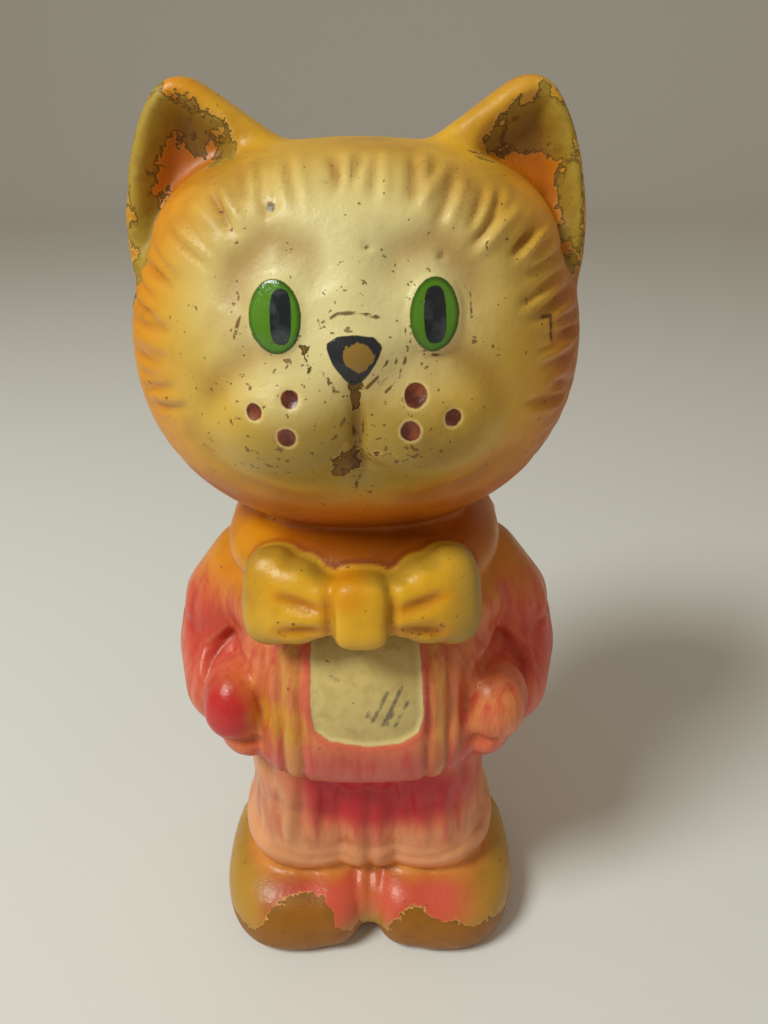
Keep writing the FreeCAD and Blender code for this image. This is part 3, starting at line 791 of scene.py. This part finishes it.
def speckle(tree, place, scale, detail=3.0, rough=0.55):
    return wire(tree, "ShaderNodeTexNoise", (("Vector", place), ("Scale", scale),
                                             ("Detail", detail), ("Roughness", rough))).outputs[0]


def read(tree, name, output="Fac"):
    return wire(tree, "ShaderNodeAttribute", attribute_name=name).outputs[output]


def fresh(name):
    material = bpy.data.materials.new(name)
    material.use_nodes = True
    tree = material.node_tree
    place = wire(tree, "ShaderNodeTexCoord").outputs["Object"]
    return material, tree, tree.nodes["Principled BSDF"], place


MOTTLE_TINT = (0.62, 0.48, 0.36)
STREAK_RED = (0.56, 0.035, 0.035)
RUBBED_EDGE = (0.80, 0.55, 0.22)
BROKEN_LIP = (0.80, 0.47, 0.10)
CRACK_BROWN = (0.15, 0.065, 0.010)
SHIRT_DIRT = (0.42, 0.29, 0.09)
SHIRT_RIM = (0.78, 0.63, 0.30)
PEN_GREY = (0.10, 0.09, 0.07)
# the tint of grime and painted shade in grooves and hollows
GRIME_AND_SHADE_TINT = (0.58, 0.36, 0.20)
painted, tree, shader, place = fresh("worn_paint")
fine = speckle(tree, place, 1100, 3)
blotch = speckle(tree, place, 330, 4)
broad = speckle(tree, place, 70, 3)
ragged = maths(tree, "ADD", maths(tree, "MULTIPLY", maths(tree, "SUBTRACT", blotch, 0.5), 5.0),
               maths(tree, "MULTIPLY", maths(tree, "SUBTRACT", fine, 0.5), 1.6))
edge = maths(tree, "ADD", read(tree, "bare"), ragged)
colour = read(tree, "coat", "Color")

# mottling and the streaks brushed down the jacket
colour = stain(tree, colour, MOTTLE_TINT, step(tree, broad, 0.50, 0.80, 0.0, 0.8))
tall = wire(tree, "ShaderNodeMapping", (("Vector", place), ("Scale", (1.0, 1.0, 0.12))))
threads = speckle(tree, tall.outputs[0], 420, 3)
streak = maths(tree, "MULTIPLY", read(tree, "streak"), step(tree, threads, 0.45, 0.70, 0.0, 0.75))
colour = over(tree, colour, STREAK_RED, streak)

# grime and painted shade in the grooves, rubbed high places
lift = read(tree, "lift")
grime_and_shade = step(tree, maths(tree, "ADD", lift, maths(tree, "MULTIPLY", broad, 0.4)), 0.05, -1.3,
             0.0, 0.85)
rubbed = step(tree, maths(tree, "MULTIPLY", lift, blotch), 0.22, 0.6, 0.0, 0.3)
colour = over(tree, colour, RUBBED_EDGE, rubbed)

# shirt with pen scratches
shirt = step(tree, maths(tree, "ADD", read(tree, "shirt"), maths(tree, "MULTIPLY", ragged, 0.12)),
             -0.12, 0.12)
linen = over(tree, SHIRT_CREAM, SHIRT_DIRT, step(tree, blotch, 0.46, 0.72, 0.0, 0.6))
scratch = maths(tree, "MULTIPLY", step(tree, read(tree, "scrawl"), -0.12, 0.20),
                step(tree, blotch, 0.36, 0.52))
linen = over(tree, linen, SHIRT_RIM, step(tree, read(tree, "shirt"), 1.2, 0.4, 0.0, 0.7))
linen = over(tree, linen, PEN_GREY, maths(tree, "MULTIPLY", scratch, 0.75))
colour = over(tree, colour, linen, shirt)

# pinholes and cracks
wear = read(tree, "wear")
crack_edge = maths(tree, "ADD", read(tree, "crack"), maths(tree, "MULTIPLY", ragged, 0.16))
crack = maths(tree, "MULTIPLY", step(tree, crack_edge, -0.02, 0.14),
              step(tree, blotch, 0.40, 0.50))
pin = step(tree, maths(tree, "SUBTRACT", speckle(tree, place, 800, 2),
                       maths(tree, "MULTIPLY", wear, 0.075)), 0.265, 0.240)
hole = maths(tree, "MAXIMUM", crack, maths(tree, "MULTIPLY", pin, 0.85))
colour = over(tree, colour, CRACK_BROWN, maths(tree, "MULTIPLY", hole, 0.9))

# freckles
freckle = read(tree, "freckle")
freckle_edge = maths(tree, "ADD", freckle, maths(tree, "MULTIPLY", ragged, 0.10))
halo = step(tree, freckle_edge, -0.55, -0.15, 0.0, 0.5)
colour = over(tree, colour, (0.80, 0.60, 0.26), halo)
dot = step(tree, freckle_edge, -0.08, 0.12)
colour = over(tree, colour, over(tree, (0.10, 0.022, 0.014), (0.26, 0.06, 0.025),
                                 step(tree, blotch, 0.42, 0.62)), dot)

# flaked paint: a pale broken lip, then bare rubber
flake = step(tree, edge, -0.05, 0.10)
lip = maths(tree, "MULTIPLY", step(tree, edge, -0.40, -0.05, 0.0, 0.8),
            step(tree, broad, 0.42, 0.58))
colour = over(tree, colour, BROKEN_LIP, lip)
height = wire(tree, "ShaderNodeSeparateXYZ", ((0, place),)).outputs[2]
bare_rubber = over(tree, RUBBER, DARK_RUBBER, step(tree, height, 0.05, 0.11))
bare_rubber = over(tree, bare_rubber, AGED_RUBBER, step(tree, height, 0.143, 0.152))
bare_rubber = over(tree, bare_rubber, (0.20, 0.085, 0.008), step(tree, blotch, 0.50, 0.80, 0.0,
                                                                 0.55))
colour = over(tree, colour, bare_rubber, flake)
torn = maths(tree, "MULTIPLY", maths(tree, "MULTIPLY", flake, step(tree, edge, 0.55, 0.15)),
             step(tree, height, 0.05, 0.11, 0.25, 0.8))
colour = stain(tree, colour, (0.30, 0.24, 0.20), torn)
# grime and painted shade darken the grooves and hollows
colour = stain(tree, colour, GRIME_AND_SHADE_TINT, grime_and_shade)
colour = over(tree, colour, (0.10, 0.045, 0.008), step(tree, read(tree, "pit"), -0.15, 0.25, 0.0,
                                                       0.9))

# eyes
iris = read(tree, "iris")
iris_edge = maths(tree, "ADD", iris, maths(tree, "MULTIPLY", ragged, 0.05))
green = over(tree, (0.020, 0.060, 0.006), (0.085, 0.23, 0.012), step(tree, iris_edge, 0.05, 0.75))
green = over(tree, green, (0.14, 0.30, 0.03), step(tree, broad, 0.45, 0.65, 0.0, 0.35))
iris_mask = step(tree, iris_edge, -0.08, 0.10)
colour = over(tree, colour, green, iris_mask)
pupil_mask = step(tree, maths(tree, "ADD", read(tree, "pupil"),
                              maths(tree, "MULTIPLY", ragged, 0.05)), -0.08, 0.10)
colour = over(tree, colour, over(tree, (0.012, 0.016, 0.022), (0.05, 0.06, 0.065),
                                 step(tree, blotch, 0.45, 0.65)), pupil_mask)

# nose: black enamel worn through in the middle
nose = read(tree, "nose")
nose_edge = maths(tree, "ADD", nose, maths(tree, "MULTIPLY", ragged, 0.08))
nose_mask = step(tree, nose_edge, -0.08, 0.10)
worn_nose = step(tree, maths(tree, "ADD", read(tree, "nose_wear"),
                             maths(tree, "MULTIPLY", ragged, 0.45)), -0.10, 0.10)
colour = over(tree, colour, (0.022, 0.024, 0.030), nose_mask)
colour = over(tree, colour, (0.30, 0.17, 0.035), maths(tree, "MULTIPLY", worn_nose, nose_mask))
tree.links.new(colour, shader.inputs["Base Color"])

glossy = maths(tree, "MAXIMUM", maths(tree, "MAXIMUM", iris_mask, nose_mask),
               maths(tree, "MULTIPLY", dot, 0.6))
rough = step(tree, blotch, 0.3, 0.7, 0.36, 0.50)
rough = maths(tree, "ADD", rough, maths(tree, "MULTIPLY", maths(tree, "MAXIMUM", flake, hole),
                                        0.12))
rough = maths(tree, "SUBTRACT", rough, maths(tree, "MULTIPLY", glossy, 0.24))
rough = maths(tree, "ADD", rough, step(tree, height, 0.100, 0.112, -0.08, 0.0))
tree.links.new(rough, shader.inputs["Roughness"])
relief = maths(tree, "ADD", maths(tree, "MULTIPLY", fine, 0.09),
               maths(tree, "MULTIPLY", blotch, 0.16))
relief = maths(tree, "SUBTRACT", relief, maths(tree, "MULTIPLY", flake, 0.22))
relief = maths(tree, "SUBTRACT", relief, maths(tree, "MULTIPLY", hole, 0.16))
relief = maths(tree, "ADD", relief, maths(tree, "MULTIPLY", maths(tree, "MAXIMUM", iris_mask,
                                                                  nose_mask), 0.12))
bump = wire(tree, "ShaderNodeBump", (("Height", relief), ("Strength", 0.8), ("Distance", MM)))
tree.links.new(bump.outputs[0], shader.inputs["Normal"])
shader.inputs["Specular IOR Level"].default_value = 0.4
skin.data.materials.append(painted)

# ---------------------------------------------------------------- hollow inside and parting
# The toy is hollow. Its wall is cut where the two shells of the frame meet, and a round hole in
# the sole holds the squeaker.
raw_rubber, tree, shader, place = fresh("raw_rubber")
grit = speckle(tree, place, 500, 4)
tree.links.new(over(tree, RUBBER, (0.16, 0.07, 0.010), step(tree, grit, 0.4, 0.7)),
               shader.inputs["Base Color"])
tree.links.new(step(tree, grit, 0.3, 0.7, 0.55, 0.75), shader.inputs["Roughness"])
bump = wire(tree, "ShaderNodeBump", (("Height", grit), ("Strength", 0.5), ("Distance", MM)))
tree.links.new(bump.outputs[0], shader.inputs["Normal"])

hollow = fuse("hollow", [ball((0, 2, 135.6), (38.5, 30.5, 31.5)), ball((0, 2, 98), (15, 14, 20)),
                         ball((0, -1, 72), (25, 23, 26), power=2.2),
                         ball((0, -3, 46), (17, 14, 28), power=2.4)], 2.0, 4)
bpy.ops.object.mode_set(mode="EDIT")
bpy.ops.mesh.select_all(action="SELECT")
bpy.ops.mesh.flip_normals()
bpy.ops.object.mode_set(mode="OBJECT")
skin.data.materials.append(raw_rubber)
hollow.data.materials.append(raw_rubber)
deselect()
hollow.select_set(True)
skin.select_set(True)
bpy.context.view_layer.objects.active = skin
bpy.ops.object.join()

BORE_RADIUS = 8.0
BORE_DEPTH = 24.0
deselect()
bpy.ops.mesh.primitive_cylinder_add(vertices=96, radius=BORE_RADIUS * MM, depth=BORE_DEPTH * MM,
                                    location=(0, SEAM_Y * MM, (BORE_DEPTH / 2 - 4) * MM))
bit = bpy.context.object
bit.data.materials.append(raw_rubber)
deselect()
skin.select_set(True)
bpy.context.view_layer.objects.active = skin
drill = skin.modifiers.new("bore", "BOOLEAN")
drill.operation = "DIFFERENCE"
drill.solver = "EXACT"
drill.material_mode = "TRANSFER"
drill.object = bit
bpy.ops.object.modifier_apply(modifier="bore")
bpy.data.objects.remove(bit)


def half_of(whole, name, keep):
    """One side of the parting plane, closed along it."""
    deselect()
    whole.select_set(True)
    bpy.context.view_layer.objects.active = whole
    bpy.ops.object.duplicate()
    part = bpy.context.object
    part.name = part.data.name = name
    bpy.ops.object.mode_set(mode="EDIT")
    bpy.ops.mesh.select_all(action="SELECT")
    bpy.ops.mesh.bisect(plane_co=(0, SEAM_Y * MM, 0), plane_no=(0, 1, 0), use_fill=True,
                        clear_inner=keep > 0, clear_outer=keep < 0)
    bpy.ops.object.mode_set(mode="OBJECT")
    for face in part.data.polygons:
        if face.normal.y * keep < -0.999 and abs(face.center.y - SEAM_Y * MM) < 1e-5:
            face.material_index = 1
            face.use_smooth = False
    return part


for name, keep, node in (("front_skin", -1, "front_shell"), ("back_skin", 1, "back_shell")):
    half = half_of(skin, name, keep)
    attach(half, "toy")
    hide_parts(node)
bpy.data.objects.remove(skin)

# ---------------------------------------------------------------- squeaker
# A drawn aluminium can, dulled by age, holds a moulded whistle with a thin plastic reed.
dull_metal, tree, shader, place = fresh("dull_aluminium")
haze = speckle(tree, place, 600, 4)
tree.links.new(over(tree, (0.52, 0.52, 0.50), (0.30, 0.28, 0.24), step(tree, haze, 0.45, 0.72)),
               shader.inputs["Base Color"])
tree.links.new(step(tree, haze, 0.3, 0.7, 0.32, 0.55), shader.inputs["Roughness"])
shader.inputs["Metallic"].default_value = 1.0
bump = wire(tree, "ShaderNodeBump", (("Height", haze), ("Strength", 0.2), ("Distance", 0.2 * MM)))
tree.links.new(bump.outputs[0], shader.inputs["Normal"])


def moulded(name, colour, aged, low, high):
    material, tree, shader, place = fresh(name)
    cloudy = speckle(tree, place, 450, 3)
    tree.links.new(over(tree, colour, aged, step(tree, cloudy, 0.4, 0.75)),
                   shader.inputs["Base Color"])
    tree.links.new(step(tree, cloudy, 0.3, 0.7, low, high), shader.inputs["Roughness"])
    bump = wire(tree, "ShaderNodeBump", (("Height", speckle(tree, place, 1500, 2)),
                                         ("Strength", 0.2), ("Distance", 0.2 * MM)))
    tree.links.new(bump.outputs[0], shader.inputs["Normal"])
    return material


ivory = moulded("ivory_plastic", (0.74, 0.70, 0.58), (0.60, 0.52, 0.36), 0.40, 0.55)
clear_reed = moulded("satin_reed", (0.80, 0.78, 0.70), (0.70, 0.66, 0.54), 0.25, 0.35)
for node_name, material in (("squeaker_can", dull_metal), ("squeaker_plate", ivory),
                            ("reed_bed", ivory), ("reed", clear_reed), ("reed_wedge", ivory),
                            ("clamp_ring", ivory)):
    for slot in bpy.data.objects[node_name].material_slots:
        slot.material = material
